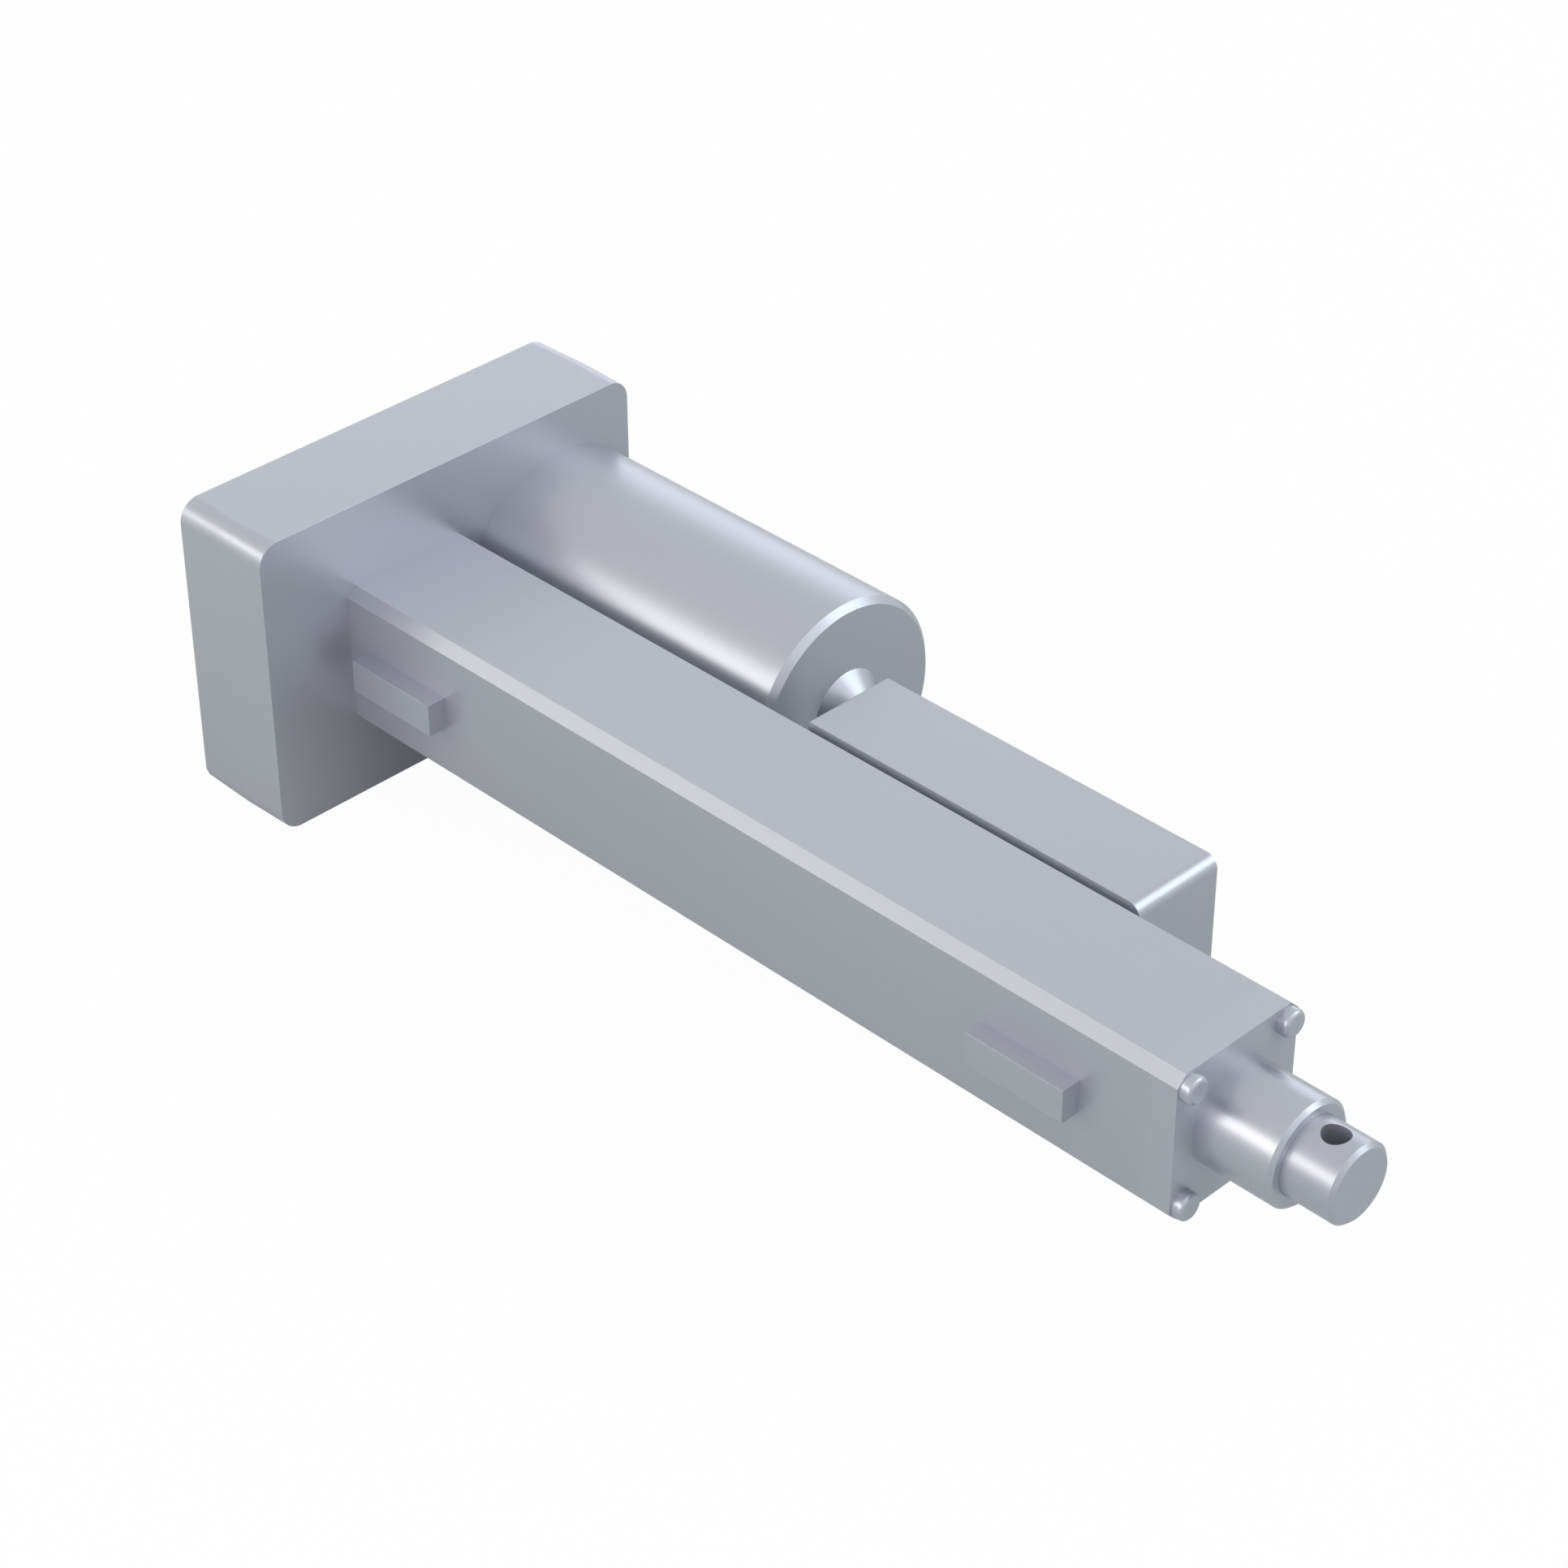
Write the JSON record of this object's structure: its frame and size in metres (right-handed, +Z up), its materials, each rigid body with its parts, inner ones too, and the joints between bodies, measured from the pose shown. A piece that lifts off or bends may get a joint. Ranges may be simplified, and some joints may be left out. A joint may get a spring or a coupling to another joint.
{
  "type": "electric linear actuator",
  "caption": "Electric linear actuator: a motor beside a square tube drives a round rod out of a long collar through a flat gear case, with a pin hole at each end.",
  "frame": {"origin": "centre of the pin hole in the rear clevis", "axes": "+X along the rod towards its outer end, +Y from the rod to the motor, +Z up, along both pin holes"},
  "size_m": [0.3692, 0.1267, 0.0848],
  "materials": {
    "cast_aluminium": "satin",
    "anodised_aluminium": "satin",
    "rod_steel": "fine ground",
    "motor_steel": "satin",
    "box_aluminium": "satin",
    "sensor_metal": "satin",
    "screw_steel": "satin",
    "machine_steel": "ground",
    "bronze": "machined",
    "copper": "machined",
    "black_rubber": "matt",
    "core_iron": "laminated",
    "ferrite": "matt",
    "carbon": "matt",
    "inner_plastic": "matt",
    "circuit_board": "solder mask",
    "capacitor_can": "sleeved"
  },
  "bodies": {
    "actuator_body": {"case_front": "cast_aluminium", "case_rear": "cast_aluminium", "case_seal": "black_rubber", "case_screws": "screw_steel", "rear_clevis": "cast_aluminium", "clevis_screws": "screw_steel", "tube": "anodised_aluminium", "tube_screws": "screw_steel", "front_cap": "anodised_aluminium", "front_screws": "screw_steel", "guide_bush": "bronze", "wiper_ring": "black_rubber", "end_bumper": "black_rubber", "front_bearing_outer_ring": "machine_steel", "rear_bearing_outer_ring": "machine_steel", "idler_pin": "machine_steel", "motor_can": "motor_steel", "motor_end_plate": "cast_aluminium", "motor_screws": "screw_steel", "motor_bearing_outer_ring": "machine_steel", "motor_rear_bush": "bronze", "motor_magnets": "ferrite", "brush_card": "inner_plastic", "brushes": "carbon", "brush_springs": "machine_steel", "side_box": "box_aluminium", "side_box_lid": "box_aluminium", "lid_screws": "screw_steel", "box_screws": "screw_steel", "control_board": "circuit_board", "relays": "inner_plastic", "terminal_block": "inner_plastic", "filter_capacitor": "capacitor_can", "rear_sensor": "sensor_metal", "front_sensor": "sensor_metal"},
    "rod_assembly": {"rod": "rod_steel", "drive_nut": "bronze", "nut_grub_screws": "screw_steel", "magnet_ring": "ferrite"},
    "screw_assembly": {"lead_screw": "machine_steel", "screw_tip_guide": "inner_plastic", "screw_gear": "machine_steel", "screw_key": "machine_steel", "gear_spacer": "machine_steel", "lock_nut": "machine_steel", "front_bearing_inner_ring": "machine_steel", "front_bearing_balls": "machine_steel", "rear_bearing_inner_ring": "machine_steel", "rear_bearing_balls": "machine_steel"},
    "idler": {"idler_gear": "machine_steel"},
    "motor_rotor": {"motor_shaft": "machine_steel", "motor_pinion": "machine_steel", "motor_bearing_inner_ring": "machine_steel", "motor_bearing_balls": "machine_steel", "armature_core": "core_iron", "armature_windings": "copper", "commutator": "copper"}
  },
  "joints": [
    {"name": "motor_spin", "type": "hinge", "parent": "actuator_body", "child": "motor_rotor", "pos_m": [0.0519, 0.0508, 0.0008], "axis": [-1, 0, 0], "range_deg": [0, 162171.43]},
    {"name": "idler_spin", "type": "hinge", "parent": "actuator_body", "child": "idler", "pos_m": [0.0519, 0.02888, 0.00265], "axis": [-1, 0, 0], "range_deg": [-60815.29, 0]},
    {"name": "screw_spin", "type": "hinge", "parent": "actuator_body", "child": "screw_assembly", "pos_m": [0.0519, 0, 0], "axis": [-1, 0, 0], "range_deg": [0, 19351]},
    {"name": "rod_slide", "type": "slide", "parent": "actuator_body", "child": "rod_assembly", "axis": [1, 0, 0], "range_m": [0, 0.21501]}
  ],
  "couplings": [
    {"joint": "idler_spin", "follows": "motor_spin", "ratio": -0.375},
    {"joint": "screw_spin", "follows": "motor_spin", "ratio": 0.11932},
    {"joint": "rod_slide", "follows": "motor_spin", "m_per_rad": 0.00007596}
  ]
}
